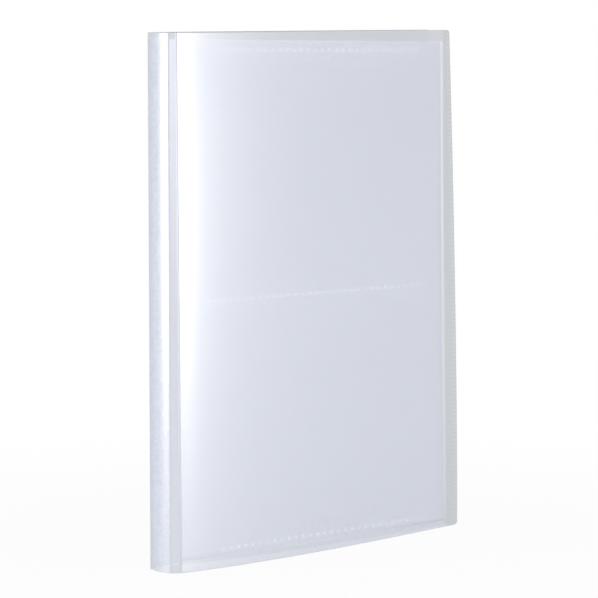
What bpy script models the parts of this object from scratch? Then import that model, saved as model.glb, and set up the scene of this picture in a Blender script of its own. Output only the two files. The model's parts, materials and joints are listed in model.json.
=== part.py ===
"""Postcard holder: a creased clear-plastic cover around welded pocket pages, standing closed.

Lengths are in metres and +Z is up. The holder stands on its bottom edges, with the spine at -X,
the fore-edge at +X and the front cover at -Y. The origin is under the middle of the whole holder.
"""

import math
from dataclasses import dataclass

import bmesh
import bpy
from mathutils import Vector

# Cover sheet: one creased sheet, parted at its four living hinges
COVER_HEIGHT = 0.222
COVER_LENGTH = 0.1689  # spine corner to fore-edge
SPINE_THICKNESS = 0.0132  # outside, from front corner to back corner
SPINE_CROWN = 0.0010  # bulge of the spine past its two corners
SHEET = 0.0008
CORNER_RADIUS = 0.0018  # fore-edge corners of both covers
STRIP_RUN = 0.0035  # from the spine corner to the second crease, along the cover
CREASE_GAP = 0.0003
BOW_SKEW = 0.75  # under 1 draws the crest of the bow towards the spine
LEAN_POWER = 1.6  # over 1 keeps the foot of the fore-edge upright

# Pocket pages: two films each, welded together, fused to the binding strip
PAGE_COUNT = 20
PAGE_TOP_MARGIN = 0.0034
PAGE_FOOT_MARGIN = 0.0037
PAGE_DROOP = 0.0019  # how far a page sags at its fore-edge
PAGE_CORNER_RADIUS = 0.0012
PAGE_ROOT_PITCH = 0.00049
PAGE_EDGE_FIRST = -0.0006  # where the first and last page end at the fore-edge, across the block
PAGE_EDGE_LAST = 0.0091
PAGE_INSET = 0.0047  # fore-edge of a page inside that of the cover
POCKET_MOUTH = 0.0140  # from the spine corner to the open edge of a front film
FILM = 0.00006
POCKET_GAP = 0.00025  # room for one card

# Binding strip: the melted film ends behind the spine
BINDING_WIDTH = 0.0098
BINDING_FACE = 0.0022  # its page side, from the spine corners
SEAT_GAP = 0.0003

# Mesh density
CORNER_SEGMENTS = 4
COVER_COLUMNS = 22
COVER_ROWS = 12
STRIP_ROWS = 8
SPINE_FACETS = 12
SMOOTH_LIMIT = math.radians(30.0)  # sharper edges stay sharp


@dataclass(frozen=True)
class Bend:
    """How far a relaxed cover stands outside its spine corner, at its foot and at its head.

    The rise is at the second crease, the bow is between that crease and the fore-edge, and the edge
    is at the fore-edge.
    """

    rise_foot: float
    rise_head: float
    bow_foot: float
    bow_head: float
    edge_foot: float
    edge_head: float


FRONT_BEND = Bend(
    rise_foot=0.0022, rise_head=0.0003, bow_foot=0.0052, bow_head=0.0062, edge_foot=0.0018, edge_head=-0.0047
)
BACK_BEND = Bend(
    rise_foot=0.0012, rise_head=0.0012, bow_foot=0.0036, bow_head=0.0036, edge_foot=0.0040, edge_head=0.0040
)
FRONT_SIDE = -1.0
BACK_SIDE = 1.0


def clear_scene():
    """Remove every object, so that the holder is all there is."""
    for old in list(bpy.data.objects):
        bpy.data.objects.remove(old, do_unlink=True)


def plastic(name, colour, roughness, alpha):
    """A see-through plastic with one colour."""
    material = bpy.data.materials.new(name)
    material.use_nodes = True
    shader = material.node_tree.nodes["Principled BSDF"]
    shader.inputs["Base Color"].default_value = (*colour, 1.0)
    shader.inputs["Roughness"].default_value = roughness
    shader.inputs["Metallic"].default_value = 0.0
    shader.inputs["Alpha"].default_value = alpha
    return material


def add_object(name, shape, material, parent, location):
    """Turn a bmesh into a named object that hangs on its parent."""
    mesh = bpy.data.meshes.new(name)
    shape.to_mesh(mesh)
    shape.free()
    mesh.materials.append(material)
    piece = bpy.data.objects.new(name, mesh)
    bpy.context.scene.collection.objects.link(piece)
    piece.parent = parent
    piece.location = location
    return piece


def add_empty(name, parent, location, turn=0.0):
    """A marker on a turning axis, which carries the pieces that turn."""
    empty = bpy.data.objects.new(name, None)
    empty.empty_display_size = SPINE_THICKNESS
    bpy.context.scene.collection.objects.link(empty)
    empty.parent = parent
    empty.location = location
    empty.rotation_euler = (0.0, 0.0, turn)
    return empty


def thicken(shape, along):
    """Extrude a flat face into a closed body whose faces point out."""
    grown = bmesh.ops.extrude_face_region(shape, geom=shape.faces[:])
    moved = [item for item in grown["geom"] if isinstance(item, bmesh.types.BMVert)]
    bmesh.ops.translate(shape, verts=moved, vec=along)
    bmesh.ops.recalc_face_normals(shape, faces=shape.faces[:])


def upright_prism(outline, height):
    """A closed body with a level outline, standing on z = 0."""
    shape = bmesh.new()
    shape.faces.new([shape.verts.new((x, y, 0.0)) for x, y in outline])
    thicken(shape, Vector((0.0, 0.0, height)))
    return shape


def rounded_sheet(corners, rounded, radius, thickness):
    """A closed flat sheet in the XZ plane, thickened along +Y, with some corners rounded."""
    shape = bmesh.new()
    points = [shape.verts.new((x, 0.0, z)) for x, z in corners]
    shape.faces.new(points)
    bmesh.ops.bevel(
        shape,
        geom=[points[index] for index in rounded],
        offset=radius,
        offset_type="OFFSET",
        segments=CORNER_SEGMENTS,
        profile=0.5,
        affect="VERTICES",
    )
    thicken(shape, Vector((0.0, thickness, 0.0)))
    return shape


def rise(bend, z):
    """How far the second crease stands outside the spine corner, at z up. The crease is straight."""
    return bend.rise_foot + (bend.rise_head - bend.rise_foot) * z / COVER_HEIGHT


def outward(bend, x, z):
    """How far the outer face of a cover stands outside its spine corner, at x along and z up."""
    along = max(0.0, (x - STRIP_RUN) / (COVER_LENGTH - STRIP_RUN))
    height = z / COVER_HEIGHT
    bow = bend.bow_foot + (bend.bow_head - bend.bow_foot) * height
    edge = bend.edge_foot + (bend.edge_head - bend.edge_foot) * height**LEAN_POWER
    arch = math.sin(math.pi * along**BOW_SKEW)
    return rise(bend, z) * (1.0 - along) + bow * arch + edge * along


def cut_across(shape, point, normal):
    """Cut every face of a sheet along one plane, keeping both sides."""
    parts = shape.verts[:] + shape.edges[:] + shape.faces[:]
    bmesh.ops.bisect_plane(shape, geom=parts, plane_co=point, plane_no=normal)


def cut_columns(shape, low_x, high_x):
    """Divide a flat cover into upright columns, so that it can be bowed."""
    for column in range(1, COVER_COLUMNS):
        x = low_x + (high_x - low_x) * column / COVER_COLUMNS
        cut_across(shape, (x, 0.0, 0.0), (1.0, 0.0, 0.0))


def cut_rows(shape, count):
    """Divide a flat panel of the cover into rows, so that it can be twisted."""
    for row in range(1, count):
        cut_across(shape, (0.0, 0.0, COVER_HEIGHT * row / count), (0.0, 0.0, 1.0))


def corner_point(side):
    """The crease between the spine and a hinge strip, on the outer face."""
    return Vector((0.0, side * SPINE_THICKNESS / 2, 0.0))


def cover_point(side, bend):
    """The foot of the crease between a hinge strip and its cover panel, on the outer face."""
    return Vector((STRIP_RUN, side * (SPINE_THICKNESS / 2 + bend.rise_foot), 0.0))


def spine_radius():
    """Radius of the arc through both spine corners and the crown."""
    half = SPINE_THICKNESS / 2
    return (half**2 + SPINE_CROWN**2) / (2 * SPINE_CROWN)


def spine_end_angle():
    """Half the angle that the spine's arc spans."""
    return math.asin(SPINE_THICKNESS / 2 / spine_radius())


def least_strip_angle():
    """Lean of a hinge strip out of the X direction, where it leans outwards least."""
    rises = [rise(bend, z) for bend in (FRONT_BEND, BACK_BEND) for z in (0.0, COVER_HEIGHT)]
    return math.atan2(min(rises), STRIP_RUN)


def half_fold():
    """Half the angle that the sheet turns through at a spine corner, where it is folded most."""
    return (math.pi / 2 - spine_end_angle() - least_strip_angle()) / 2


def mitre():
    """Setback of the inner edge of a panel where two panels meet at a spine corner."""
    return SHEET * math.tan(half_fold())


def corner_parting():
    """Setback of each panel that leaves the crease gap open at a spine corner."""
    return CREASE_GAP / 2 / math.cos(half_fold())


def arc(centre_x, radius, low, high):
    """Points of an arc that bulges towards -X, from one angle to the other."""
    angles = [low + (high - low) * step / SPINE_FACETS for step in range(SPINE_FACETS + 1)]
    return [(centre_x - radius * math.cos(angle), radius * math.sin(angle)) for angle in angles]


def build_spine(holder, material):
    """The crowned spine panel, mitred where the hinge strips meet it."""
    outer = spine_radius()
    inner = outer - SHEET
    centre_x = outer - SPINE_CROWN
    outer_end = spine_end_angle() - corner_parting() / outer
    inner_end = spine_end_angle() - (mitre() + corner_parting()) / inner
    outline = arc(centre_x, outer, -outer_end, outer_end) + arc(centre_x, inner, inner_end, -inner_end)
    return add_object("spine", upright_prism(outline, COVER_HEIGHT), material, holder, (0.0, 0.0, 0.0))


def build_binding(holder, material):
    """The strip of melted film ends, flat towards the pages and crowned to fit the spine."""
    seat = spine_radius() - SHEET - SEAT_GAP
    centre_x = spine_radius() - SPINE_CROWN
    end = math.asin(BINDING_WIDTH / 2 / seat)
    page_side = [(BINDING_FACE, BINDING_WIDTH / 2), (BINDING_FACE, -BINDING_WIDTH / 2)]
    outline = arc(centre_x, seat, -end, end) + page_side
    height = COVER_HEIGHT - PAGE_TOP_MARGIN - PAGE_FOOT_MARGIN
    shape = upright_prism(outline, height)
    return add_object("binding_strip", shape, material, holder, (0.0, 0.0, PAGE_FOOT_MARGIN))


def build_strip(name, holder, material, side, bend):
    """A hinge strip, twisted from the spine corner to the second crease, turning about the corner."""
    start = corner_parting()
    end = STRIP_RUN - CREASE_GAP / 2
    outline = ((start, 0.0), (end, 0.0), (end, SHEET), (start + mitre(), SHEET))
    shape = upright_prism(outline, COVER_HEIGHT)
    cut_rows(shape, STRIP_ROWS)
    for point in shape.verts:
        along, depth, z = point.co
        run = Vector((STRIP_RUN, rise(bend, z), 0.0))
        inward = Vector((run.y, -run.x, 0.0)).normalized()
        x, y, _ = run * (along / STRIP_RUN) + inward * depth
        point.co = Vector((x, side * y, z))
    if side == BACK_SIDE:
        bmesh.ops.reverse_faces(shape, faces=shape.faces[:])
    return add_object(name, shape, material, holder, corner_point(side))


def build_cover(name, strip, material, side, bend):
    """A bowed cover panel, turning about the second crease."""
    low_x = STRIP_RUN + CREASE_GAP
    corners = ((low_x, 0.0), (COVER_LENGTH, 0.0), (COVER_LENGTH, COVER_HEIGHT), (low_x, COVER_HEIGHT))
    shape = rounded_sheet(corners, rounded=(1, 2), radius=CORNER_RADIUS, thickness=SHEET)
    cut_columns(shape, low_x, COVER_LENGTH)
    cut_rows(shape, COVER_ROWS)
    crease = cover_point(side, bend)
    for point in shape.verts:
        x, depth, z = point.co
        y = side * (SPINE_THICKNESS / 2 + outward(bend, x, z) - depth)
        point.co = Vector((x, y, z)) - crease
    if side == BACK_SIDE:
        bmesh.ops.reverse_faces(shape, faces=shape.faces[:])
    cover = add_object(name, shape, material, strip, crease - corner_point(side))
    cover.data.shade_smooth()
    cover.data.set_sharp_from_angle(angle=SMOOTH_LIMIT)
    return cover


def build_film(name, page, material, start, end, offset):
    """One flat film of a page: root edge upright, fore-edge sagged, outer corners rounded."""
    foot = PAGE_FOOT_MARGIN
    head = COVER_HEIGHT - PAGE_TOP_MARGIN
    start_sag = PAGE_DROOP * start / end
    corners = (
        (start, foot - start_sag),
        (end, foot - PAGE_DROOP),
        (end, head - PAGE_DROOP),
        (start, head - start_sag),
    )
    shape = rounded_sheet(corners, rounded=(1, 2), radius=PAGE_CORNER_RADIUS, thickness=FILM)
    return add_object(name, shape, material, page, (0.0, offset - FILM / 2, 0.0))


def build_page(number, holder, material):
    """A pocket page on its own turning line: a full back film and a front film with an open mouth."""
    root_x = BINDING_FACE + SEAT_GAP
    root_y = (number - (PAGE_COUNT + 1) / 2) * PAGE_ROOT_PITCH
    share = (number - 1) / (PAGE_COUNT - 1)
    edge_y = PAGE_EDGE_FIRST + (PAGE_EDGE_LAST - PAGE_EDGE_FIRST) * share
    reach = COVER_LENGTH - PAGE_INSET - root_x
    turn = math.atan2(edge_y - root_y, reach)
    page = add_empty(f"page_{number:02d}", holder, (root_x, root_y, 0.0), turn)
    mouth = POCKET_MOUTH - root_x
    build_film(f"page_{number:02d}_back_film", page, material, 0.0, reach, 0.0)
    build_film(f"page_{number:02d}_front_film", page, material, mouth, reach, -FILM - POCKET_GAP)
    return page


def centre_on_origin(holder):
    """Move the whole holder so that the origin is under the middle of its box."""
    bpy.context.view_layer.update()
    points = []
    for piece in bpy.data.objects:
        if piece.type == "MESH":
            points += [piece.matrix_world @ vertex.co for vertex in piece.data.vertices]
    for axis in (0, 1):
        values = [point[axis] for point in points]
        holder.location[axis] -= (min(values) + max(values)) / 2


def main():
    """Build the cover sheet, the binding strip and every pocket page."""
    clear_scene()
    holder = add_empty("holder", None, (0.0, 0.0, 0.0))
    cover_plastic = plastic("frosted_cover", (0.72, 0.76, 0.83), roughness=0.38, alpha=0.75)
    film_plastic = plastic("clear_film", (0.78, 0.81, 0.87), roughness=0.22, alpha=0.35)
    fused_plastic = plastic("fused_film_ends", (0.80, 0.83, 0.88), roughness=0.30, alpha=0.85)
    build_spine(holder, cover_plastic)
    build_binding(holder, fused_plastic)
    front_strip = build_strip("front_hinge_strip", holder, cover_plastic, FRONT_SIDE, FRONT_BEND)
    build_cover("front_cover", front_strip, cover_plastic, FRONT_SIDE, FRONT_BEND)
    back_strip = build_strip("back_hinge_strip", holder, cover_plastic, BACK_SIDE, BACK_BEND)
    build_cover("back_cover", back_strip, cover_plastic, BACK_SIDE, BACK_BEND)
    for number in range(1, PAGE_COUNT + 1):
        build_page(number, holder, film_plastic)
    centre_on_origin(holder)


main()
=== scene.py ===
"""Postcard holder: the looks of a creased, frosted cover sheet round welded pocket pages.

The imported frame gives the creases, the page roots and the box. Every piece made here stands where its
solid stands, in metres, with +Z up, the spine at -X, the fore-edge at +X and the front cover at -Y.
"""

import json
import logging
import math
from collections.abc import Callable, Iterable
from dataclasses import dataclass, replace
from enum import Enum
from functools import partial

import bmesh
import bpy
from mathutils import Matrix, Vector, noise


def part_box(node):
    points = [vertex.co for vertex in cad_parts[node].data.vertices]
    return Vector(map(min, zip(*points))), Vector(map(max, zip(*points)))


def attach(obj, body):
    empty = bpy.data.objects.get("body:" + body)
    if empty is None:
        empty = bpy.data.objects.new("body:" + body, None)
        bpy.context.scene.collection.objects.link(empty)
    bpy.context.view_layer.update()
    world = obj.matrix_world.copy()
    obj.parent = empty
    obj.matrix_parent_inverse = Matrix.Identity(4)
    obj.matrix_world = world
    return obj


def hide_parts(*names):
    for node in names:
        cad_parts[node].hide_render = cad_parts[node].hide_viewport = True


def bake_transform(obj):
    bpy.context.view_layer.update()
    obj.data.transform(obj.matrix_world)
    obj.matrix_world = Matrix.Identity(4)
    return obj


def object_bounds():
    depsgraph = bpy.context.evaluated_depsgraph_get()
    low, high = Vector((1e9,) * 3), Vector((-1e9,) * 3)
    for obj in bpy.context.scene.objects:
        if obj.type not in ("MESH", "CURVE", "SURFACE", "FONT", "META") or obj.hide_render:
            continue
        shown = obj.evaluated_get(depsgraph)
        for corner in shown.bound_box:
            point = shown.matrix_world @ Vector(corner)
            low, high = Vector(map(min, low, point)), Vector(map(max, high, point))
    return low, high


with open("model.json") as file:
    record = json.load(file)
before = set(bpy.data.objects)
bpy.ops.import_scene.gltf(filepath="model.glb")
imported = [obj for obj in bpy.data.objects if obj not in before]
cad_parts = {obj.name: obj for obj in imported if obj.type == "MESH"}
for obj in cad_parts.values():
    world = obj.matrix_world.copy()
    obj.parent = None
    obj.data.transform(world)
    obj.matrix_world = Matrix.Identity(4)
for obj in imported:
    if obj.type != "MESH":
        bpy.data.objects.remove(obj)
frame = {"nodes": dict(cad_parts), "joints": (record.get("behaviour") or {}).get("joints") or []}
CAD_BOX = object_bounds()
JOINTS = {joint["name"]: joint for joint in frame["joints"]}
LOG = logging.getLogger("postcard_holder")

Colour = tuple[float, float, float]
Shape = bmesh.types.BMesh
Piece = bpy.types.Object
Socket = bpy.types.NodeSocket

ALONG = Vector((1.0, 0.0, 0.0))
ACROSS = Vector((0.0, 1.0, 0.0))
UP = Vector((0.0, 0.0, 1.0))
BLACK = (0.0, 0.0, 0.0, 1.0)
WHITE = (1.0, 1.0, 1.0, 1.0)

# Face attributes that the finishes read.
RIM = "rim"
FUSED = "fused"
# Edges over the first angle are rounded, and those over the second look sharp.
RIM_ANGLE = math.radians(40.0)
SHARP_ANGLE = math.radians(35.0)
# A rim's faces lean up or down by more than the first share, or face across a panel by less than the second.
RIM_LEAN = 0.3
FLAT_FACING = 0.95
CORNER_SEGMENTS = 8

# Detail and roughness of the frosting's two noises, and the parts of their range in use.
GRAIN_NOISE = (3.0, 0.6)
CLOUD_NOISE = (4.0, 0.55)
GRAIN_SPAN = (0.25, 0.75)
GRAIN_PEAKS = (0.56, 0.62)
CLOUD_SPAN = (0.3, 0.7)
# How softly a margin starts, and how far apart the ribs along the fore-edge are.
MARGIN_BLUR = 0.0004
RIB_PITCH = 0.00191
LINE_TERMS = ("Start", "Slant", "Bow")


class Side(Enum):
    """The two halves of the cover sheet, by the way that their outer face looks along Y."""

    FRONT = -1.0
    BACK = 1.0

    def named(self, thing: str) -> str:
        """The frame's name for a thing on this side."""
        return f"{self.name.lower()}_{thing}"


class Slot(Enum):
    """The record's material slots."""

    COVER = "cover_plastic"
    FILM = "page_film"
    FUSED = "fused_film"


class Margin(Enum):
    """The stretches of a cover that have no pages behind them, where painted shade darkens it, and the fine
    ribs along its fore-edge.
    """

    FOOT = "Foot"
    SILL = "Sill"
    HEAD = "Head"
    FORE = "Fore"
    RIBS = "Ribs"

    @property
    def axes(self) -> tuple[str, str]:
        """The axis that crosses the line where the margin starts, and the axis that runs along it."""
        return ("X", "Z") if self in (Margin.FORE, Margin.RIBS) else ("Z", "X")

    @property
    def below(self) -> bool:
        """Whether the margin lies below its line."""
        return self in (Margin.FOOT, Margin.SILL)


def axis_point(joint: str, z: float = 0.0) -> Vector:
    """Where a joint's axis passes one height.

    Args:
        joint: The joint's name.
        z: The height.

    Returns:
        The point of the axis at that height.
    """
    place = Vector(JOINTS[joint]["pos_m"])
    axis = Vector(JOINTS[joint]["axis"])
    return place + axis * ((z - place.z) / axis.z)


@dataclass(frozen=True)
class Plan:
    """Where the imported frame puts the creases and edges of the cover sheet."""

    spine_x: float
    middle_y: float
    half_spine: float
    strip_run: float
    fore_edge_x: float
    height: float

    @classmethod
    def from_frame(cls) -> "Plan":
        """Read the plan from the joints and the box.

        Returns:
            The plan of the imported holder.
        """
        front = axis_point("front_spine_crease")
        back = axis_point("back_spine_crease")
        crease = axis_point("front_cover_crease")
        return cls(
            spine_x=front.x,
            middle_y=(front.y + back.y) / 2,
            half_spine=(back.y - front.y) / 2,
            strip_run=crease.x - front.x,
            fore_edge_x=CAD_BOX[1].x,
            height=CAD_BOX[1].z,
        )


PLAN = Plan.from_frame()


def cut_at(shape: Shape, axis: Vector, places: Iterable[float]) -> None:
    """Cut a shape and keep both sides.

    Args:
        shape: The bmesh to cut.
        axis: The axis that the cuts are square to.
        places: Where they cross it.
    """
    for place in places:
        parts = shape.verts[:] + shape.edges[:] + shape.faces[:]
        bmesh.ops.bisect_plane(shape, geom=parts, plane_co=axis * place, plane_no=axis)


def evenly(low: float, high: float, count: int) -> list[float]:
    """The places that divide a length into equal slices."""
    return [low + (high - low) * step / count for step in range(1, count)]


def extrude_closed(shape: Shape, along: Vector) -> None:
    """Grow a flat face into a closed body whose faces point out.

    Args:
        shape: A bmesh that holds one flat face.
        along: How far and which way the body grows.
    """
    grown = bmesh.ops.extrude_face_region(shape, geom=shape.faces[:])
    moved = [item for item in grown["geom"] if isinstance(item, bmesh.types.BMVert)]
    bmesh.ops.translate(shape, verts=moved, vec=along)
    bmesh.ops.recalc_face_normals(shape, faces=shape.faces[:])


def outline_face(points: list[Vector]) -> Shape:
    """Start a bmesh from one flat face.

    Args:
        points: The face's corners, in order.

    Returns:
        The bmesh.
    """
    shape = bmesh.new()
    shape.faces.new([shape.verts.new(point) for point in points])
    return shape


def folded_edges(shape: Shape) -> list[bmesh.types.BMEdge]:
    """The edges at which two faces meet as at a rim."""
    return [edge for edge in shape.edges if edge.calc_face_angle(0.0) > RIM_ANGLE]


def upright_sheet(low: Vector, high: Vector, radius: float, thickness: float) -> Shape:
    """A closed flat sheet in the XZ plane, thickened along +Y, with its two fore-edge corners rounded.

    Args:
        low: Corner at the spine side and the foot, as (x, z).
        high: Corner at the fore-edge and the head, as (x, z).
        radius: Radius of the fore-edge corners.
        thickness: Thickness along +Y, from y = 0.

    Returns:
        The sheet as a bmesh.
    """
    corners = ((low.x, low.y), (high.x, low.y), (high.x, high.y), (low.x, high.y))
    shape = outline_face([Vector((x, 0.0, z)) for x, z in corners])
    outer = [point for point in shape.verts if point.co.x == max(v.co.x for v in shape.verts)]
    bmesh.ops.bevel(
        shape,
        geom=outer,
        offset=radius,
        offset_type="OFFSET",
        segments=CORNER_SEGMENTS,
        profile=0.5,
        affect="VERTICES",
        material=-1,
    )
    extrude_closed(shape, ACROSS * thickness)
    return shape


def at_cut_end(face: bmesh.types.BMFace) -> bool:
    """Whether a face looks up or down, as the cut head and foot of a sheet do."""
    return abs(face.normal.z) > RIM_LEAN


def mark_faces(shape: Shape, name: str, value: float, chosen: Callable) -> None:
    """Write a number on some faces, which a material reads by name.

    Args:
        shape: The bmesh that holds the faces.
        name: The attribute's name.
        value: The number they get.
        chosen: Tells whether a face gets it.
    """
    layer = shape.faces.layers.float.get(name) or shape.faces.layers.float.new(name)
    for face in filter(chosen, shape.faces):
        face[layer] = value


def new_piece(name: str, shape: Shape) -> Piece:
    """Turn a bmesh into a smooth-shaded object at the origin.

    Args:
        name: The piece's name.
        shape: Its bmesh, which is freed.

    Returns:
        The linked object.
    """
    mesh = bpy.data.meshes.new(name)
    shape.to_mesh(mesh)
    shape.free()
    mesh.shade_smooth()
    mesh.set_sharp_from_angle(angle=SHARP_ANGLE)
    piece = bpy.data.objects.new(name, mesh)
    bpy.context.scene.collection.objects.link(piece)
    return piece


def dress(piece: Piece, material: bpy.types.Material, slot: Slot) -> None:
    """Give a piece its finish."""
    piece.data.materials.append(material)


class NodeBench:
    """Places and links the nodes of one shader tree."""

    def __init__(self, tree: bpy.types.NodeTree) -> None:
        """Start on a tree."""
        self.tree = tree

    def add(self, kind: str, inputs: dict | None = None, **settings: object) -> bpy.types.Node:
        """Place a node.

        Args:
            kind: The node's Blender type.
            inputs: Plain values or sockets to link, by input name or number.
            settings: Properties of the node.

        Returns:
            The new node.
        """
        node = self.tree.nodes.new(kind)
        for name, value in settings.items():
            setattr(node, name, value)
        for name, value in (inputs or {}).items():
            if isinstance(value, Socket):
                self.tree.links.new(value, node.inputs[name])
            else:
                node.inputs[name].default_value = value
        return node

    def reckon(self, operation: str, *terms: Socket | float, clamp: bool = False) -> Socket:
        """Reckon with numbers, in the order of the Math node's inputs."""
        inputs = dict(enumerate(terms))
        return self.add("ShaderNodeMath", inputs, operation=operation, use_clamp=clamp).outputs[0]

    def mix(self, share: Socket, first: Socket | float, second: Socket | float) -> Socket:
        """Mix two numbers: a share of the second and the rest of the first."""
        inputs = {"Factor": share, 2: first, 3: second}
        return self.add("ShaderNodeMix", inputs, data_type="FLOAT").outputs[0]

    def tint(self, share: Socket, first: Socket | tuple, second: Socket | tuple) -> Socket:
        """Mix two colours: a share of the second and the rest of the first."""
        inputs = {"Factor": share, 6: first, 7: second}
        return self.add("ShaderNodeMix", inputs, data_type="RGBA").outputs[2]

    def spread(self, value: Socket, source: tuple, target: tuple, **settings: object) -> Socket:
        """Carry a number from a source range into a target range."""
        inputs = {"Value": value} | dict(zip(("From Min", "From Max", "To Min", "To Max"), source + target))
        return self.add("ShaderNodeMapRange", inputs, **settings).outputs["Result"]

    def speckle(self, place: Socket, scale: Socket, look: tuple[float, float]) -> Socket:
        """A noise of some scale, with the detail and roughness of its look."""
        inputs = {"Vector": place, "Scale": scale, "Detail": look[0], "Roughness": look[1]}
        return self.add("ShaderNodeTexNoise", inputs).outputs["Fac"]


def fresh_bench(owner: bpy.types.Material | bpy.types.World) -> NodeBench:
    """Clear a shader, and start on it.

    Args:
        owner: The material or the world that has the shader.

    Returns:
        A bench on its empty tree.
    """
    owner.use_nodes = True
    owner.node_tree.nodes.clear()
    return NodeBench(owner.node_tree)


def new_group(name: str, sockets: Iterable[tuple[str, str, str]]) -> NodeBench:
    """Start a shader node group.

    Args:
        name: The group's name.
        sockets: Way, kind and name of each socket.

    Returns:
        A bench on the group, which has its sockets and no nodes.
    """
    tree = bpy.data.node_groups.new(name, "ShaderNodeTree")
    for way, kind, label in sockets:
        tree.interface.new_socket(name=label, in_out=way, socket_type=f"NodeSocket{kind}")
    return NodeBench(tree)


def frosting_group() -> bpy.types.NodeTree:
    """The grain and haze that every plastic here shares, as one node group.

    Returns:
        A group that puts out a hazy colour, a roughness, a grain height and how dense the haze is.
    """
    name = "frosting"
    if name in bpy.data.node_groups:
        return bpy.data.node_groups[name]
    sockets = [("INPUT", "Vector", "Vector")]
    sockets += [("INPUT", "Float", label) for label in ("Grain Scale", "Cloud Scale", "Smooth", "Rough")]
    sockets += [("INPUT", "Color", label) for label in ("Pale", "Deep")]
    sockets += [("OUTPUT", "Color", "Color")]
    sockets += [("OUTPUT", "Float", label) for label in ("Roughness", "Height", "Cloud")]
    bench = new_group(name, sockets)
    given = bench.add("NodeGroupInput").outputs
    grain = bench.speckle(given["Vector"], given["Grain Scale"], GRAIN_NOISE)
    cloud = bench.speckle(given["Vector"], given["Cloud Scale"], CLOUD_NOISE)
    patch = bench.spread(cloud, CLOUD_SPAN, (0.0, 1.0))
    colour = bench.tint(patch, given["Pale"], given["Deep"])
    roughness = bench.spread(grain, GRAIN_SPAN, (given["Smooth"], given["Rough"]))
    results = {"Color": colour, "Roughness": roughness, "Height": grain, "Cloud": patch}
    bench.add("NodeGroupOutput", results)
    return bench.tree


def margin_shade_and_ribs_group() -> bpy.types.NodeTree:
    """The painted shade on the bare margins of a cover, past the edges of the pages behind it, and the ribs,
    as one node group.

    Returns:
        A group that puts out one on each margin, or on each rib, and nought elsewhere.
    """
    name = "bare_margin"
    if name in bpy.data.node_groups:
        return bpy.data.node_groups[name]
    sockets = [("INPUT", "Vector", "Vector"), ("INPUT", "Float", "Blur")]
    for margin in Margin:
        sockets += [("INPUT", "Float", f"{margin.value} {term}") for term in LINE_TERMS]
        sockets.append(("OUTPUT", "Float", margin.value))
    bench = new_group(name, sockets)
    given = bench.add("NodeGroupInput").outputs
    place = bench.add("ShaderNodeSeparateXYZ", {0: given["Vector"]}).outputs
    shares = {}
    for margin in Margin:
        start, slant, bow = (given[f"{margin.value} {term}"] for term in LINE_TERMS)
        across, along = (place[axis] for axis in margin.axes)
        slope = bench.reckon("MULTIPLY_ADD", bow, along, slant)
        line = bench.reckon("MULTIPLY_ADD", slope, along, start)
        ends = (line, across) if margin.below else (across, line)
        past = bench.reckon("SUBTRACT", *ends)
        shares[margin.value] = bench.reckon("DIVIDE", past, given["Blur"], clamp=True)
    wave = bench.reckon("SINE", bench.reckon("MULTIPLY", place["Z"], math.tau / RIB_PITCH))
    ribs = Margin.RIBS.value
    shares[ribs] = bench.reckon("MULTIPLY", wave, shares[ribs], clamp=True)
    bench.add("NodeGroupOutput", shares)
    return bench.tree


@dataclass(frozen=True)
class MarginLine:
    """Where a margin of the cover starts, and how it is painted past that line: with painted shade on a bare
    margin, with stripes on the ribs.

    Attributes:
        start: Where the line crosses the middle of the cover or, for the fore-edge, its foot.
        slant: How far the line moves, for each metre along it.
        colour: Colour painted past the line: a darker painted shade on a bare margin, the stripe colour on
            the ribs.
        alpha: How far it covers what is behind it there.
        bow: How fast the slant changes along the line.
    """

    start: float
    slant: float
    colour: Colour
    alpha: float
    bow: float = 0.0


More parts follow.
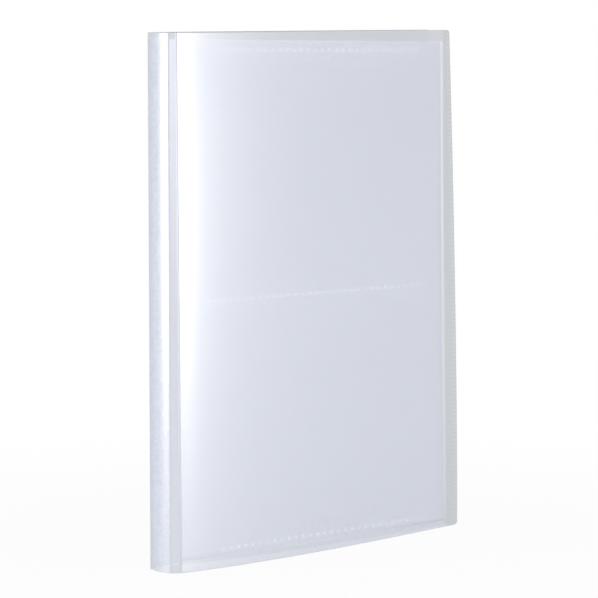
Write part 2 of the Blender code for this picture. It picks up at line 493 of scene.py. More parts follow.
@dataclass(frozen=True)
class Plastic:
    """A semi-clear plastic: a grainy, glossy skin that lets part of the light through.

    Attributes:
        name: The material's name.
        pale, deep: Colours of its clearer and its denser patches.
        marked: Colour of marked faces, such as cut rims and welds; on crease webs and hinge strips it is
            painted shade.
        marked_rough: Roughness of marked faces.
        mark: Name of the face attribute that marks them.
        smooth, rough: Lowest and highest roughness.
        grain_scale, cloud_scale: Grains and hazy patches to a metre.
        grain_depth: Height of the grain, in metres.
        alpha: How far a face covers what is behind it, clearest and densest.
        marked_alpha: The same on marked faces.
        glow: Share of light that is spread through to the far side.
        shine: Specular level.
        ior: Index of refraction, higher for a stack of layers, which mirrors more.
        marked_painted_glow, grain_painted_glint: Painted light given off by marked faces and by the highest
            grains, though they are no lamps.
        margins: Where painted shade darkens the sheet because no pages are behind it, and where ribs are on
            it.
    """

    name: str
    pale: Colour
    deep: Colour
    marked: Colour
    marked_rough: float
    mark: str
    smooth: float
    rough: float
    grain_scale: float
    cloud_scale: float
    grain_depth: float
    alpha: tuple[float, float]
    marked_alpha: float
    glow: float
    shine: float = 0.5
    ior: float = 1.5
    marked_painted_glow: float = 0.0
    grain_painted_glint: float = 0.0
    margins: dict[Margin, MarginLine] | None = None

    def paint_margin_shade_and_ribs(
        self,
        bench: NodeBench,
        place: Socket,
        colour: Socket,
        alpha: Socket,
    ) -> tuple[Socket, Socket]:
        """Paint shade into the colour and change the cover on the bare margins, and paint the ribs.

        Args:
            bench: The material's nodes.
            place: Where a point lies on its piece.
            colour: The plastic's colour so far.
            alpha: How far it covers what is behind it, so far.

        Returns:
            The colour and the cover with the margins in them.
        """
        inputs = {"Vector": place, "Blur": MARGIN_BLUR}
        for margin, line in self.margins.items():
            for term, value in zip(LINE_TERMS, (line.start, line.slant, line.bow)):
                inputs[f"{margin.value} {term}"] = value
        shares = bench.add("ShaderNodeGroup", inputs, node_tree=margin_shade_and_ribs_group()).outputs
        for margin, line in self.margins.items():
            colour = bench.tint(shares[margin.value], colour, (*line.colour, 1.0))
            alpha = bench.mix(shares[margin.value], alpha, line.alpha)
        return colour, alpha

    def make(self) -> bpy.types.Material:
        """Build the material.

        Returns:
            The material, ready to assign.
        """
        material = bpy.data.materials.new(self.name)
        bench = fresh_bench(material)
        place = bench.add("ShaderNodeTexCoord").outputs["Object"]
        inputs = {
            "Vector": place,
            "Grain Scale": self.grain_scale,
            "Cloud Scale": self.cloud_scale,
            "Pale": (*self.pale, 1.0),
            "Deep": (*self.deep, 1.0),
            "Smooth": self.smooth,
            "Rough": self.rough,
        }
        frosting = bench.add("ShaderNodeGroup", inputs, node_tree=frosting_group()).outputs
        colour = frosting["Color"]
        alpha = bench.spread(frosting["Cloud"], (0.0, 1.0), self.alpha)
        if self.margins:
            colour, alpha = self.paint_margin_shade_and_ribs(bench, place, colour, alpha)
        mark = bench.add("ShaderNodeAttribute", attribute_name=self.mark).outputs["Fac"]
        marked = (*self.marked, 1.0)
        # Painted light: marked faces glow in their marked colour and the highest grains glint, as emission.
        glint_paint = bench.spread(frosting["Height"], GRAIN_PEAKS, (0.0, self.grain_painted_glint))
        glow_paint = bench.reckon("MULTIPLY_ADD", mark, self.marked_painted_glow, glint_paint)
        relief = {"Height": frosting["Height"], "Distance": self.grain_depth, "Strength": 1.0}
        skin = bench.add(
            "ShaderNodeBsdfPrincipled",
            {
                "Base Color": bench.tint(mark, colour, marked),
                "Roughness": bench.mix(mark, frosting["Roughness"], self.marked_rough),
                "Specular IOR Level": self.shine,
                "IOR": self.ior,
                "Alpha": bench.mix(mark, alpha, self.marked_alpha),
                "Emission Color": bench.tint(glow_paint, BLACK, marked),
                "Emission Strength": 1.0,
                "Normal": bench.add("ShaderNodeBump", relief).outputs["Normal"],
            },
        )
        through = bench.add("ShaderNodeBsdfTranslucent", {"Color": (*self.pale, 1.0)})
        body = bench.add("ShaderNodeMixShader", {0: self.glow, 1: skin.outputs[0], 2: through.outputs[0]})
        bench.add("ShaderNodeOutputMaterial", {"Surface": body.outputs[0]})
        return material


# Painted shade: past these lines no pages lie behind the cover, so it is painted darker and greyer there;
# the ribs are a pattern of fine stripes.
COVER_MARGIN_SHADE_AND_RIBS = {
    Margin.FOOT: MarginLine(0.0050, -0.0135, colour=(0.535, 0.555, 0.618), alpha=0.68),
    Margin.SILL: MarginLine(0.0025, -0.0160, colour=(0.600, 0.622, 0.688), alpha=0.68),
    Margin.HEAD: MarginLine(0.2178, -0.0154, colour=(0.545, 0.560, 0.598), alpha=0.78),
    Margin.FORE: MarginLine(0.0769, -0.01236, colour=(0.487, 0.507, 0.522), alpha=0.78, bow=0.1246),
    Margin.RIBS: MarginLine(0.0819, 0.0, colour=(0.540, 0.560, 0.575), alpha=0.80),
}
SPINE_MARGIN_SHADE = {margin: COVER_MARGIN_SHADE_AND_RIBS[margin] for margin in (Margin.SILL, Margin.HEAD)}
COVER_PLASTIC = Plastic(
    name="frosted_cover_sheet",
    pale=(0.73, 0.752, 0.825),
    deep=(0.70, 0.722, 0.795),
    marked=(0.56, 0.58, 0.635),
    marked_rough=0.84,
    mark=RIM,
    smooth=0.31,
    rough=0.37,
    grain_scale=1500.0,
    cloud_scale=14.0,
    grain_depth=0.000006,
    alpha=(0.50, 0.54),
    marked_alpha=0.85,
    glow=0.04,
    shine=1.0,
    ior=1.8,
    # Painted glow on the rims, crease webs and shaded folds, lightening them a little.
    marked_painted_glow=0.06,
    margins=COVER_MARGIN_SHADE_AND_RIBS,
)
SPINE_PLASTIC = replace(
    COVER_PLASTIC,
    name="frosted_spine_sheet",
    pale=(0.785, 0.815, 0.895),
    deep=(0.57, 0.605, 0.70),
    cloud_scale=700.0,
    margins=SPINE_MARGIN_SHADE,
)
# A lighter copy of the cover plastic, painted lighter for the light that falls on the hinge strips; its
# darker marked colour is painted shade where they twist out.
STRIP_PLASTIC = replace(
    COVER_PLASTIC,
    name="frosted_hinge_strip",
    pale=(0.80, 0.822, 0.90),
    deep=(0.77, 0.792, 0.87),
    marked=(0.50, 0.52, 0.57),
    smooth=0.56,
    rough=0.62,
    alpha=(0.66, 0.70),
    margins=SPINE_MARGIN_SHADE,
)
PAGE_PLASTIC = Plastic(
    name="clear_pocket_film",
    pale=(0.84, 0.89, 0.98),
    deep=(0.80, 0.86, 0.97),
    marked=(0.97, 0.98, 0.99),
    marked_rough=0.45,
    mark=FUSED,
    smooth=0.16,
    rough=0.28,
    grain_scale=420.0,
    cloud_scale=22.0,
    grain_depth=0.00002,
    alpha=(0.60, 0.70),
    marked_alpha=0.95,
    glow=0.06,
    # Painted glow: the weld spots give off light so that they show through the cover, and the hems faintly
    # too; the welds' paler colour is their own.
    marked_painted_glow=0.50,
)
BINDING_PLASTIC = Plastic(
    name="melted_film_ends",
    pale=(0.90, 0.93, 0.98),
    deep=(0.74, 0.79, 0.88),
    marked=(0.80, 0.88, 1.00),
    marked_rough=0.30,
    mark=FUSED,
    smooth=0.12,
    rough=0.40,
    grain_scale=650.0,
    cloud_scale=260.0,
    grain_depth=0.00008,
    alpha=(0.80, 0.92),
    marked_alpha=0.9,
    glow=0.20,
    # Painted glints: the highest grains of the melted block give off light, as sparkle.
    grain_painted_glint=0.40,
)


@dataclass(frozen=True)
class Bend:
    """How far a relaxed cover panel stands outside its flat plane, at its foot and at its head."""

    bow_foot: float
    bow_head: float
    edge_foot: float
    edge_head: float


@dataclass(frozen=True)
class SheetStock:
    """The plastic sheet that the whole cover is pressed from."""

    thickness: float = 0.0008
    parting: float = 0.0003
    rim_round: float = 0.00016
    rim_segments: int = 2
    web_reach: float = 0.00045
    web_outer: float = 0.00006
    web_inner: float = 0.00042
    hem: float = 0.0004

    def round_rims(self, shape: Shape, edges: list[bmesh.types.BMEdge]) -> None:
        """Round the rims of a sheet.

        Args:
            shape: The sheet's bmesh.
            edges: The edges at its rims.
        """
        bmesh.ops.bevel(
            shape,
            geom=edges,
            offset=self.rim_round,
            offset_type="OFFSET",
            segments=self.rim_segments,
            profile=0.5,
            affect="EDGES",
            material=-1,
            clamp_overlap=True,
        )

    def hem_lines(self, low: float, high: float) -> list[float]:
        """Cuts just inside two rims, which keep the rounding of the rims out of the flat faces."""
        return [low + self.hem, high - self.hem]


STOCK = SheetStock()


@dataclass(frozen=True)
class Rail:
    """The straight start of a panel beside a crease: where it starts, where it runs, where its inside is."""

    origin: Vector
    along: Vector
    inward: Vector

    def at(self, distance: float, depth: float) -> Vector:
        """The point some distance from the crease and some depth inside the outer face."""
        return self.origin + self.along * distance + self.inward * depth


def meeting_point(first: Rail, second: Rail, depth: float) -> Vector:
    """Where the layers of two panels meet at their crease, at one depth inside the outer faces."""
    bisector = (first.inward + second.inward).normalized()
    return first.origin + bisector * (depth / bisector.dot(first.inward))


@dataclass(frozen=True)
class CreaseWeb:
    """The thin living hinge that joins two panels of the cover sheet across one crease.

    Attributes:
        name: The web's name.
        bodies: The two bodies that it joins.
        rails: Gives the ends of both panels at one height.
        rim_and_shade_mark: How strongly it is marked as a rim, which paints the crease darker, as painted
            crease shade.
        rows: How many slices it has, one above the other.
    """

    name: str
    bodies: tuple[str, str]
    rails: Callable[[float], tuple[Rail, Rail]]
    rim_and_shade_mark: float
    rows: int = 12

    def section(self, z: float) -> list[Vector]:
        """The web's corners at one height.

        Args:
            z: The height.

        Returns:
            The corners, first along its outside and then back along its inside.
        """
        first, second = self.rails(z)
        corners = []
        for depth, ends in ((STOCK.web_outer, (first, second)), (STOCK.web_inner, (second, first))):
            corners.append(ends[0].at(STOCK.web_reach, depth))
            corners.append(meeting_point(first, second, depth))
            corners.append(ends[1].at(STOCK.web_reach, depth))
        return corners

    def build(self) -> Piece:
        """Model the web as a folded strip, sunk into both panels.

        Returns:
            The web, in place.
        """
        low = STOCK.rim_round
        high = PLAN.height - STOCK.rim_round
        foot = self.section(low)
        shape = outline_face(foot)
        extrude_closed(shape, UP * (high - low))
        cut_at(shape, UP, evenly(low, high, self.rows))
        for point in shape.verts:
            distances = [(corner.xy - point.co.xy).length for corner in foot]
            point.co = self.section(point.co.z)[distances.index(min(distances))]
        # Painted crease shade: the whole web takes the darker rim colour, as strongly as given.
        mark_faces(shape, RIM, self.rim_and_shade_mark, lambda face: True)
        piece = new_piece(self.name, shape)
        first, second = self.rails(PLAN.height / 2)
        half_gap = STOCK.parting / 2
        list(self.bodies)
        first.at(half_gap, 0.0)
        second.at(half_gap, 0.0)
        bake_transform(piece)
        return piece


@dataclass(frozen=True)
class Spine:
    """The crowned spine panel of the cover sheet, mitred where the hinge strips meet it."""

    crown: float = 0.0010
    facets: int = 28
    rows: int = 6

    @property
    def radius(self) -> float:
        """Radius of the arc through both spine corners and the crown."""
        return (PLAN.half_spine**2 + self.crown**2) / (2 * self.crown)

    @property
    def end_angle(self) -> float:
        """Half the angle that the arc spans."""
        return math.asin(PLAN.half_spine / self.radius)

    def arc(self, radius: float, low: float, high: float) -> list[Vector]:
        """Points of an arc about the crown's centre.

        Args:
            radius: The arc's radius.
            low: First angle, from -X towards +Y.
            high: Last angle.

        Returns:
            The points, on the floor.
        """
        centre = Vector((PLAN.spine_x + self.radius - self.crown, PLAN.middle_y, 0.0))
        angles = [low + (high - low) * step / self.facets for step in range(self.facets + 1)]
        return [centre + Vector((-math.cos(angle), math.sin(angle), 0.0)) * radius for angle in angles]

    def rail(self, side: Side, z: float) -> Rail:
        """The end of the spine beside one corner crease.

        Args:
            side: The side that the crease is on.
            z: The height.

        Returns:
            The end at that height.
        """
        turn = self.end_angle * side.value
        inward = Vector((math.cos(turn), -math.sin(turn), 0.0))
        along = Vector((-math.sin(turn), -math.cos(turn), 0.0)) * side.value
        return Rail(axis_point(side.named("spine_crease"), z), along, inward)

    def build(self, mitre: float, setback: float) -> Piece:
        """Model the panel as an arc of sheet.

        Args:
            mitre: Setback of the inner face at each corner.
            setback: Setback of the whole panel at each corner.

        Returns:
            The panel, in place.
        """
        inner = self.radius - STOCK.thickness
        outer_end = self.end_angle - setback / self.radius
        inner_end = self.end_angle - (mitre + setback) / inner
        outline = self.arc(self.radius, -outer_end, outer_end) + self.arc(inner, inner_end, -inner_end)
        shape = outline_face(outline)
        extrude_closed(shape, UP * PLAN.height)
        STOCK.round_rims(shape, folded_edges(shape))
        mark_faces(shape, RIM, 1.0, at_cut_end)
        cut_at(shape, UP, evenly(0.0, PLAN.height, self.rows) + STOCK.hem_lines(0.0, PLAN.height))
        piece = new_piece("spine_panel", shape)
        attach(piece, "spine_block")
        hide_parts("spine")
        return piece


@dataclass(frozen=True)
class CoverHalf:
    """One side of the cover sheet: a hinge strip and a bowed panel, each turning about its crease."""

    side: Side
    bend: Bend
    corner_radius: float = 0.0018
    bow_skew: float = 0.75
    lean_power: float = 1.6
    # Strength of the painted shade on the hinge strip.
    fold_shade_strength: float = 0.62
    flat_rise: float = 0.0004
    full_rise: float = 0.0012
    sill: float = 0.0038
    columns: int = 36
    rows: int = 28

    def corner(self, z: float) -> Vector:
        """The crease between the spine and the hinge strip, at one height."""
        return axis_point(self.side.named("spine_crease"), z)

    def crease(self, z: float) -> Vector:
        """The crease between the hinge strip and the panel, at one height."""
        return axis_point(self.side.named("cover_crease"), z)

    def rise(self, z: float) -> float:
        """How far the second crease stands outside the spine corner, at one height."""
        return self.side.value * (self.crease(z).y - self.corner(z).y)

    def fold_shade_at(self, z: float) -> float:
        """How strongly the strip is roughened and painted darker, as painted shade, at one height: most
        where it stands out, not at its sill.
        """
        share = (self.rise(z) - self.flat_rise) / (self.full_rise - self.flat_rise)
        return self.fold_shade_strength * min(1.0, max(0.0, share)) if z > self.sill else 0.0

    def inward(self, along: Vector) -> Vector:
        """The way into the sheet, square to the way along it."""
        return Vector((along.y, -along.x, 0.0)) * self.side.value

    def strip_rail(self, z: float) -> Rail:
        """The hinge strip, from the spine corner outwards, at one height."""
        along = (self.crease(z) - self.corner(z)).normalized()
        return Rail(self.corner(z), along, self.inward(along))

    def strip_end_rail(self, z: float) -> Rail:
        """The hinge strip, from the cover crease back to the spine, at one height."""
        strip = self.strip_rail(z)
        return Rail(self.crease(z), -strip.along, strip.inward)

    def panel_rail(self, z: float) -> Rail:
        """The start of the panel beside the cover crease.

        Args:
            z: The height.

        Returns:
            The start at that height.
        """
        step = self.length / self.columns
        rise = self.outward(PLAN.strip_run + step, z) - self.rise(z)
        along = Vector((step, self.side.value * rise, 0.0)).normalized()
        return Rail(self.crease(z), along, self.inward(along))

    @property
    def length(self) -> float:
        """The panel's length, from the cover crease to the fore-edge."""
        return PLAN.fore_edge_x - PLAN.spine_x - PLAN.strip_run

    def outward(self, x: float, z: float) -> float:
        """How far the panel's outer face stands outside the spine corner.

        Args:
            x: Distance from the spine corner.
            z: Height.

        Returns:
            The distance, outwards.
        """
        along = max(0.0, (x - PLAN.strip_run) / self.length)
        height = min(1.0, max(0.0, z / PLAN.height))
        bow = self.bend.bow_foot + (self.bend.bow_head - self.bend.bow_foot) * height
        edge = self.bend.edge_foot + (self.bend.edge_head - self.bend.edge_foot) * height**self.lean_power
        arch = math.sin(math.pi * along**self.bow_skew)
        return self.rise(z) * (1.0 - along) + bow * arch + edge * along

    def build_strip(self, mitre: float, setback: float) -> Piece:
        """Model the hinge strip flat, mitred at the spine corner, and twist it from crease to crease.

        Args:
            mitre: Setback of its inner face at the corner.
            setback: Setback of the whole strip at the corner.

        Returns:
            The strip, in place.
        """
        end = PLAN.strip_run - STOCK.parting / 2
        corners = ((setback, 0.0), (end, 0.0), (end, STOCK.thickness), (setback + mitre, STOCK.thickness))
        shape = outline_face([Vector((along, depth, 0.0)) for along, depth in corners])
        extrude_closed(shape, UP * PLAN.height)
        STOCK.round_rims(shape, folded_edges(shape))
        cut_at(shape, ALONG, STOCK.hem_lines(setback, end))
        levels = evenly(0.0, PLAN.height, self.rows) + STOCK.hem_lines(0.0, PLAN.height)
        cut_at(shape, UP, levels + [self.sill])
        # Cut ends are marked as rims; elsewhere the strip gets painted shade, darker towards the foot where
        # it stands out most.
        rim_and_shade_mark = shape.faces.layers.float.new(RIM)
        for face in shape.faces:
            face[rim_and_shade_mark] = 1.0 if at_cut_end(face) else self.fold_shade_at(face.calc_center_median().z)
        for point in shape.verts:
            along, depth, z = point.co
            rail = self.strip_rail(z)
            point.co = self.corner(z).lerp(self.crease(z), along / PLAN.strip_run) + rail.inward * depth
        if self.side is Side.BACK:
            bmesh.ops.reverse_faces(shape, faces=shape.faces[:])
        piece = new_piece(self.side.named("strip_panel"), shape)
        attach(piece, self.side.named("strip"))
        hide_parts(self.side.named("hinge_strip"))
        return piece

    def build_panel(self) -> Piece:
        """Model the cover panel from a flat sheet, and bow it.

        Returns:
            The panel, in place.
        """
        low = Vector((PLAN.strip_run + STOCK.parting, 0.0))
        high = Vector((PLAN.fore_edge_x - PLAN.spine_x, PLAN.height))
        shape = upright_sheet(low, high, self.corner_radius, STOCK.thickness)
        depths = {edge: [end.co.y for end in edge.verts] for edge in shape.edges}
        rim = [edge for edge, (near, far) in depths.items() if abs(near - far) < STOCK.rim_round]
        STOCK.round_rims(shape, rim)
        mark_faces(shape, RIM, 1.0, lambda face: abs(face.normal.y) < FLAT_FACING)
        cut_at(shape, ALONG, evenly(low.x, high.x, self.columns))
        cut_at(shape, UP, evenly(low.y, high.y, self.rows))
        for point in shape.verts:
            x, depth, z = point.co
            y = self.side.value * (PLAN.half_spine + self.outward(x, z) - depth)
            point.co = Vector((PLAN.spine_x + x, PLAN.middle_y + y, z))
        if self.side is Side.BACK:
            bmesh.ops.reverse_faces(shape, faces=shape.faces[:])
        cut_at(shape, ALONG, STOCK.hem_lines(PLAN.spine_x + low.x, PLAN.spine_x + high.x))
        cut_at(shape, UP, STOCK.hem_lines(low.y, high.y))
        piece = new_piece(self.side.named("cover_panel"), shape)
        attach(piece, self.side.named("panel"))
        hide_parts(self.side.named("cover"))
        return piece


@dataclass(frozen=True)
class CoverSheet:
    """The whole creased cover: spine, two halves and the four living hinges between them."""

    spine: Spine
    halves: tuple[CoverHalf, CoverHalf]
    # Painted crease shade on the webs: dark crease lines at the spine corners, only a faint one at the
    # second creases.
    corner_web_shade: float = 1.0
    crease_web_shade: float = 0.15

    def corner_rails(self, half: CoverHalf, z: float) -> tuple[Rail, Rail]:
        """The ends of the spine and of a hinge strip at their corner, at one height."""
        return self.spine.rail(half.side, z), half.strip_rail(z)

    def crease_rails(self, half: CoverHalf, z: float) -> tuple[Rail, Rail]:
        """The ends of a hinge strip and of its panel at their crease, at one height."""
        return half.strip_end_rail(z), half.panel_rail(z)

    def half_fold(self) -> float:
        """Half the angle that the sheet turns through at a spine corner, where it is folded most."""
        ends = [self.corner_rails(half, z) for half in self.halves for z in (0.0, PLAN.height)]
        return max(spine.inward.angle(strip.inward) for spine, strip in ends) / 2

    def webs(self) -> list[CreaseWeb]:
        """Plan the living hinges.

        Returns:
            Two webs for each side.
        """
        found = []
        for half in self.halves:
            named = half.side.named
            corner_bodies = ("spine_block", named("strip"))
            crease_bodies = (named("strip"), named("panel"))
            corner_rails = partial(self.corner_rails, half)
            crease_rails = partial(self.crease_rails, half)
            found.append(CreaseWeb(named("corner_web"), corner_bodies, corner_rails, self.corner_web_shade))
            found.append(CreaseWeb(named("crease_web"), crease_bodies, crease_rails, self.crease_web_shade))
        return found

    def build(self) -> list[Piece]:
        """Model and dress every piece of the cover.

        Returns:
            The pieces.
        """
        mitre = STOCK.thickness * math.tan(self.half_fold())
        setback = STOCK.parting / 2 / math.cos(self.half_fold())
        panels = [half.build_panel() for half in self.halves] + [web.build() for web in self.webs()]
        strips = [half.build_strip(mitre, setback) for half in self.halves]
        spine = self.spine.build(mitre, setback)
        for plastic, pieces in ((COVER_PLASTIC, panels), (STRIP_PLASTIC, strips), (SPINE_PLASTIC, [spine])):
            material = plastic.make()
            for piece in pieces:
                dress(piece, material, Slot.COVER)
        return [spine] + strips + panels


@dataclass(frozen=True)
class Binding:
    """The melted film ends behind the spine: a ridged, grainy block that carries every page."""

    seat_gap: float = 0.0003
    grain: float = 0.00016
    grain_pitch: float = 0.0011
    ridge: float = 0.00012
    rows: int = 110
    ridges: int = 40

    def build(self, spine: Spine, material: bpy.types.Material) -> Piece:
        """Model the block from its outline and roughen its melted faces.

        Args:
            spine: The spine that it sits behind.
            material: The melted film.

        Returns:
            The block, in place.
        """
        low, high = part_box("binding_strip")
        half_width = (high.y - low.y) / 2
        seat = spine.radius - STOCK.thickness - self.seat_gap
        end = math.asin(half_width / seat)
        page_side = [Vector((high.x, high.y, 0.0)), Vector((high.x, low.y, 0.0))]
        shape = outline_face(spine.arc(seat, -end, end) + page_side)
        extrude_closed(shape, UP * (high.z - low.z))
        bmesh.ops.translate(shape, verts=shape.verts[:], vec=UP * low.z)
        cut_at(shape, UP, evenly(low.z, high.z, self.rows))
        cut_at(shape, ACROSS, evenly(low.y, high.y, 2 * self.ridges))
        middle = (low.x + high.x) / 2
        for point in shape.verts:
            if point.co.x < middle:
                lump = noise.noise(point.co / self.grain_pitch)
                point.co.x += self.grain * (0.5 + 0.5 * lump)
            else:
                film = (point.co.y - low.y) / (high.y - low.y) * self.ridges
                point.co.x -= self.ridge * math.sin(math.pi * film) ** 2
        piece = new_piece("melted_film_block", shape)
        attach(piece, "spine_block")
        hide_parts("binding_strip")
        dress(piece, material, Slot.FUSED)
        return piece


@dataclass(frozen=True)
class WeldRow:
    """One seam of a page: spots pressed through both films, in a row along the page."""

    height: float
    start: float
    end: float = 0.1470
    pitch: float = 0.0042
    length: float = 0.0016
    width: float = 0.0015
    facets: int = 8

    def press(self, shape: Shape, across: float, thickness: float) -> None:
        """Add the spots to a page that still lies flat.

        Args:
            shape: The page's bmesh.
            across: Middle of the two films, across the page.
            thickness: Height of a spot, through both films.
        """
        count = int((self.end - self.start) / self.pitch) + 1
        size = Matrix.Diagonal((self.length / 2, self.width / 2, thickness, 1.0))
        upright = Matrix.Rotation(math.radians(90.0), 4, "X")
        for number in range(count):
            place = Vector((self.start + number * self.pitch, across, self.height))
            bmesh.ops.create_cone(
                shape,
                cap_ends=True,
                segments=self.facets,
                radius1=1.0,
                radius2=1.0,
                depth=1.0,
                matrix=Matrix.Translation(place) @ upright @ size,
            )


@dataclass(frozen=True)
class PocketPage:
    """A pocket page: a full back film and a front film with an open mouth, welded in three seams.

    Attributes:
        number: The page's number, from the front.
        turned: How many pages lean after the front cover.
        narrow: A layer that is narrower than this is not cut into columns.
        weld_films: How many films' thickness a weld has besides the gap.
    """

    number: int
    turned: int = 10
    film: float = 0.00006
    gap: float = 0.00025
    mouth: float = 0.0115
    corner_radius: float = 0.0012
    root_tail: float = 0.0005
    bead: float = 0.0003
    hem: float = 0.0004
    hem_painted_highlight: float = 0.04
    narrow: float = 0.01
    weld_films: float = 2.6
    droop: float = 0.0019
    splay: float = 0.0042
    splay_along: float = 1.5
    splay_down: float = 1.3
    bend_reach: float = 0.0060
    columns: int = 14
    rows: int = 12
    seam_head: float = 0.0037
    seam_foot: float = 0.0027
    outer_start: float = 0.0285
    middle_start: float = 0.0205

    @property
    def word(self) -> str:
        """The page's name in the frame."""
        return f"page_{self.number:02d}"

    def add_layer(
        self,
        shape: Shape,
        low: Vector,
        high: Vector,
        middle: float,
        thickness: float,
        hems: tuple[float, ...] = (),
    ) -> None:
        """Add one flat layer, with narrow hems painted paler and faintly glowing, as painted highlight
        lines.

        Args:
            shape: The page's bmesh.
            low: Corner at the spine side and the foot, as (x, z).
            high: Corner at the fore-edge and the head, as (x, z).
            middle: Middle of the layer, across the page.
            thickness: The layer's thickness.
            hems: Where an upright hem at the spine side ends, if the layer has one.
        """
        layer = upright_sheet(low, high, min(self.corner_radius, (high.x - low.x) / 2), thickness)
        columns = self.columns if high.x - low.x > self.narrow else 1
        foot, head = low.y + self.hem, high.y - self.hem
        cut_at(layer, ALONG, evenly(low.x, high.x, columns) + list(hems))
        cut_at(layer, UP, evenly(low.y, high.y, self.rows) + [foot, head])
        bmesh.ops.translate(layer, verts=layer.verts[:], vec=ACROSS * (middle - thickness / 2))
        marks = layer.faces.layers.float.new(FUSED)
        for face in layer.faces:
            middle_x, _, middle_z = face.calc_center_median()
            at_hem = not foot < middle_z < head or any(middle_x < line for line in hems)
            # Painted highlight along the hems: a little of the paler, glowing weld finish.
            face[marks] = self.hem_painted_highlight if at_hem else 0.0
        mesh = bpy.data.meshes.new("layer")
        layer.to_mesh(mesh)
        layer.free()
        shape.from_mesh(mesh)
        bpy.data.meshes.remove(mesh)

    def settle(self, shape: Shape, reach: float) -> None:
        """Sag the fore-edge of a flat page, and splay its foot after the front cover.

        Args:
            shape: The page's bmesh, flat.
            reach: Length of the page.
        """
        share = max(0.0, (self.turned + 1 - self.number) / self.turned)
        for point in shape.verts:
            along = max(0.0, point.co.x / reach)
            low = 1.0 - min(1.0, max(0.0, point.co.z / PLAN.height))
            point.co.y -= self.splay * share * along**self.splay_along * low**self.splay_down
            point.co.z -= self.droop * along

    def build(self, material: bpy.types.Material) -> Piece:
        """Model, place and dress the page.

        Args:
            material: The clear film.

        Returns:
            The page, in place.
        """
        root = axis_point(f"{self.word}_turn")
        low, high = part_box(f"{self.word}_back_film")
        lean = Vector((high.x - root.x, high.y - self.film / 2 - root.y, 0.0))
        reach = lean.length
        head = high.z
        foot = low.z + self.droop
        front = -self.film - self.gap
        weld = self.gap + self.weld_films * self.film
        shape = bmesh.new()
        for height, start in (
            (head - self.seam_head, self.outer_start),
            ((head + foot) / 2, self.middle_start),
            (foot + self.seam_foot, self.outer_start),
        ):
            WeldRow(height, start).press(shape, front / 2, weld)
        # The weld spots get the fused finish: their own paler colour and a painted glow.
        mark_faces(shape, FUSED, 1.0, lambda face: True)
        corner = Vector((reach, head))
        mouth_hem = (self.mouth + self.hem,)
        self.add_layer(shape, Vector((-self.root_tail, foot)), corner, 0.0, self.film)
        self.add_layer(shape, Vector((self.mouth, foot)), corner, front, self.film, mouth_hem)
        self.add_layer(shape, Vector((reach - self.bead, foot)), corner, front / 2, weld)
        self.settle(shape, reach)
        turn = Matrix.Rotation(math.atan2(lean.y, lean.x), 3, "Z")
        bmesh.ops.rotate(shape, verts=shape.verts[:], cent=Vector(), matrix=turn)
        bmesh.ops.translate(shape, verts=shape.verts[:], vec=root)
        piece = new_piece(f"pocket_{self.word}", shape)
        self.word
        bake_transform(piece)
        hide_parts(f"{self.word}_back_film", f"{self.word}_front_film")
        dress(piece, material, Slot.FILM)
        return piece


@dataclass(frozen=True)
class Softbox:
    """A large soft lamp beside the holder."""

    name: str
    bearing: float
    distance: float
    height: float
    width: float
    tall: float
    watts: float

    def hang(self, target: Vector) -> None:
        """Place the lamp and turn it to a point.

        Args:
            target: What it lights.
        """
        light = bpy.data.lights.new(self.name, "AREA")
        light.shape = "RECTANGLE"
        light.size = self.width
        light.size_y = self.tall
        light.energy = self.watts
        lamp = bpy.data.objects.new(self.name, light)
        bpy.context.scene.collection.objects.link(lamp)
        turn = math.radians(self.bearing)
        outwards = Vector((math.sin(turn), -math.cos(turn), 0.0))
        lamp.location = outwards * self.distance + UP * self.height
        lamp.rotation_mode = "QUATERNION"
        lamp.rotation_quaternion = (target - lamp.location).to_track_quat("-Z", "Y")
        lamp.visible_camera = False


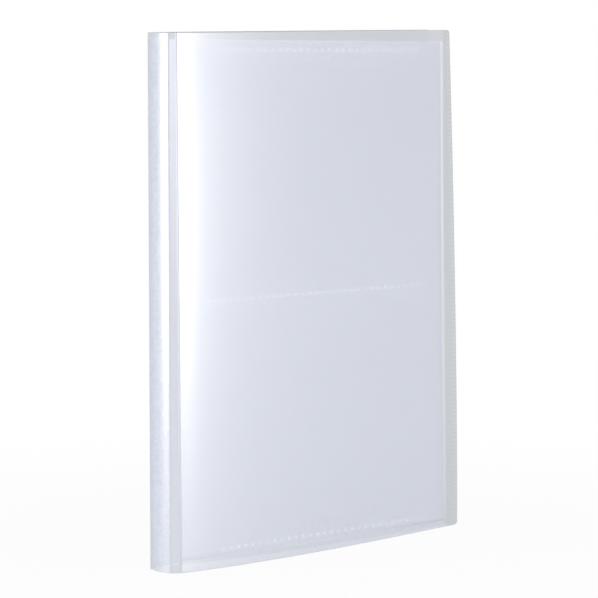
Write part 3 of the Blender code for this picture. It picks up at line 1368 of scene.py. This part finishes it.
@dataclass(frozen=True)
class Studio:
    """The floor, the lamps and the camera.

    Attributes:
        clear_layers: How many clear faces a ray may pass.
        floor_keeps_shadow: Share of the lit floor that shows near the holder.
        shadow_reach: Distances from the middle at which the shadow starts to fade and is gone.
    """

    camera_place: Vector
    heading: Vector
    tilt: float
    lens: float
    softboxes: tuple[Softbox, ...]
    clip: tuple[float, float] = (0.05, 60.0)
    clear_layers: int = 48
    sky: float = 0.705
    floor_size: float = 40.0
    floor_cells: int = 4
    floor_colour: Colour = (0.92, 0.92, 0.92)
    floor_keeps_shadow: float = 0.08
    shadow_reach: tuple[float, float] = (0.10, 0.40)

    def camera_rays(self, bench: NodeBench) -> Socket:
        """Find the rays that show the background: straight, mirrored or let through.

        Args:
            bench: The nodes of the floor or the surround.

        Returns:
            One on such rays.
        """
        path = bench.add("ShaderNodeLightPath").outputs
        straight = bench.reckon("MAXIMUM", path["Is Camera Ray"], path["Is Transmission Ray"])
        return bench.reckon("MAXIMUM", straight, path["Is Glossy Ray"])

    def build_floor(self) -> None:
        """A pale floor that looks white to the camera and keeps a soft shadow."""
        shape = bmesh.new()
        cells = self.floor_cells
        bmesh.ops.create_grid(shape, x_segments=cells, y_segments=cells, size=self.floor_size / 2)
        floor = new_piece("studio_floor", shape)
        material = bpy.data.materials.new("studio_floor")
        bench = fresh_bench(material)
        place = bench.add("ShaderNodeTexCoord").outputs["Object"]
        distance = bench.add("ShaderNodeVectorMath", {0: place}, operation="LENGTH").outputs["Value"]
        plain_shares = (1.0 - self.floor_keeps_shadow, 1.0)
        plainness = bench.spread(distance, self.shadow_reach, plain_shares, interpolation_type="SMOOTHSTEP")
        seen = bench.reckon("MULTIPLY", self.camera_rays(bench), plainness)
        lit = bench.add("ShaderNodeBsdfDiffuse", {"Color": (*self.floor_colour, 1.0)})
        plain = bench.add("ShaderNodeEmission", {"Color": WHITE, "Strength": 1.0})
        mix = bench.add("ShaderNodeMixShader", {0: seen, 1: lit.outputs[0], 2: plain.outputs[0]})
        bench.add("ShaderNodeOutputMaterial", {"Surface": mix.outputs[0]})
        floor.data.materials.append(material)

    def build_sky(self) -> None:
        """A soft white surround, plain white where the camera sees it."""
        world = bpy.data.worlds.new("studio_surround")
        bpy.context.scene.world = world
        bench = fresh_bench(world)
        strength = bench.mix(self.camera_rays(bench), self.sky, 1.0)
        back = bench.add("ShaderNodeBackground", {"Color": WHITE, "Strength": strength})
        bench.add("ShaderNodeOutputWorld", {"Surface": back.outputs[0]})

    def build_camera(self) -> None:
        """The camera at the photograph's viewing angle, set as the scene's own."""
        data = bpy.data.cameras.new("camera")
        data.lens = self.lens
        data.clip_start, data.clip_end = self.clip
        camera = bpy.data.objects.new("camera", data)
        bpy.context.scene.collection.objects.link(camera)
        camera.location = self.camera_place
        level = self.heading.normalized() * math.cos(self.tilt)
        forward = Vector((level.x, level.y, -math.sin(self.tilt)))
        camera.rotation_mode = "QUATERNION"
        camera.rotation_quaternion = forward.to_track_quat("-Z", "Y")
        bpy.context.scene.camera = camera

    def build(self) -> None:
        """Set up everything round the holder."""
        self.build_floor()
        self.build_sky()
        self.build_camera()
        for softbox in self.softboxes:
            softbox.hang(Vector((0.0, 0.0, PLAN.height / 2)))
        scene = bpy.context.scene
        scene.view_settings.view_transform = "Standard"
        scene.cycles.transparent_max_bounces = self.clear_layers


FRONT_BEND = Bend(bow_foot=0.0052, bow_head=0.0062, edge_foot=0.0018, edge_head=-0.0047)
BACK_BEND = Bend(bow_foot=0.0036, bow_head=0.0036, edge_foot=0.0040, edge_head=0.0040)
SOFTBOXES = (
    Softbox("right_softbox", bearing=11.0, distance=1.3, height=0.12, width=0.10, tall=0.22, watts=6.4),
    Softbox("left_softbox", bearing=-113.0, distance=1.3, height=0.12, width=0.15, tall=0.22, watts=7.2),
    Softbox("head_softbox", bearing=28.0, distance=1.3, height=0.18, width=0.15, tall=0.10, watts=0.5),
    Softbox("low_fill", bearing=-43.0, distance=0.30, height=0.03, width=0.50, tall=0.04, watts=0.14),
)
STUDIO = Studio(
    camera_place=Vector((-0.85543, -0.90112, 0.2334)),
    heading=Vector((0.686, 0.7276, 0.0)),
    tilt=math.radians(5.79),
    lens=175.1,
    softboxes=SOFTBOXES,
)


def main() -> None:
    """Build the holder piece by piece, then the studio round it."""
    logging.basicConfig(level=logging.INFO, format="%(name)s: %(message)s")
    cover = CoverSheet(Spine(), (CoverHalf(Side.FRONT, FRONT_BEND), CoverHalf(Side.BACK, BACK_BEND)))
    pieces = cover.build()
    pieces.append(Binding().build(cover.spine, BINDING_PLASTIC.make()))
    film = PAGE_PLASTIC.make()
    page_count = sum(1 for name in frame["nodes"] if name.endswith("_back_film"))
    pieces += [PocketPage(number).build(film) for number in range(1, page_count + 1)]
    for piece in pieces:
        LOG.info("%s: %d faces", piece.name, len(piece.data.polygons))
    STUDIO.build()


if __name__ == "__main__":
    main()
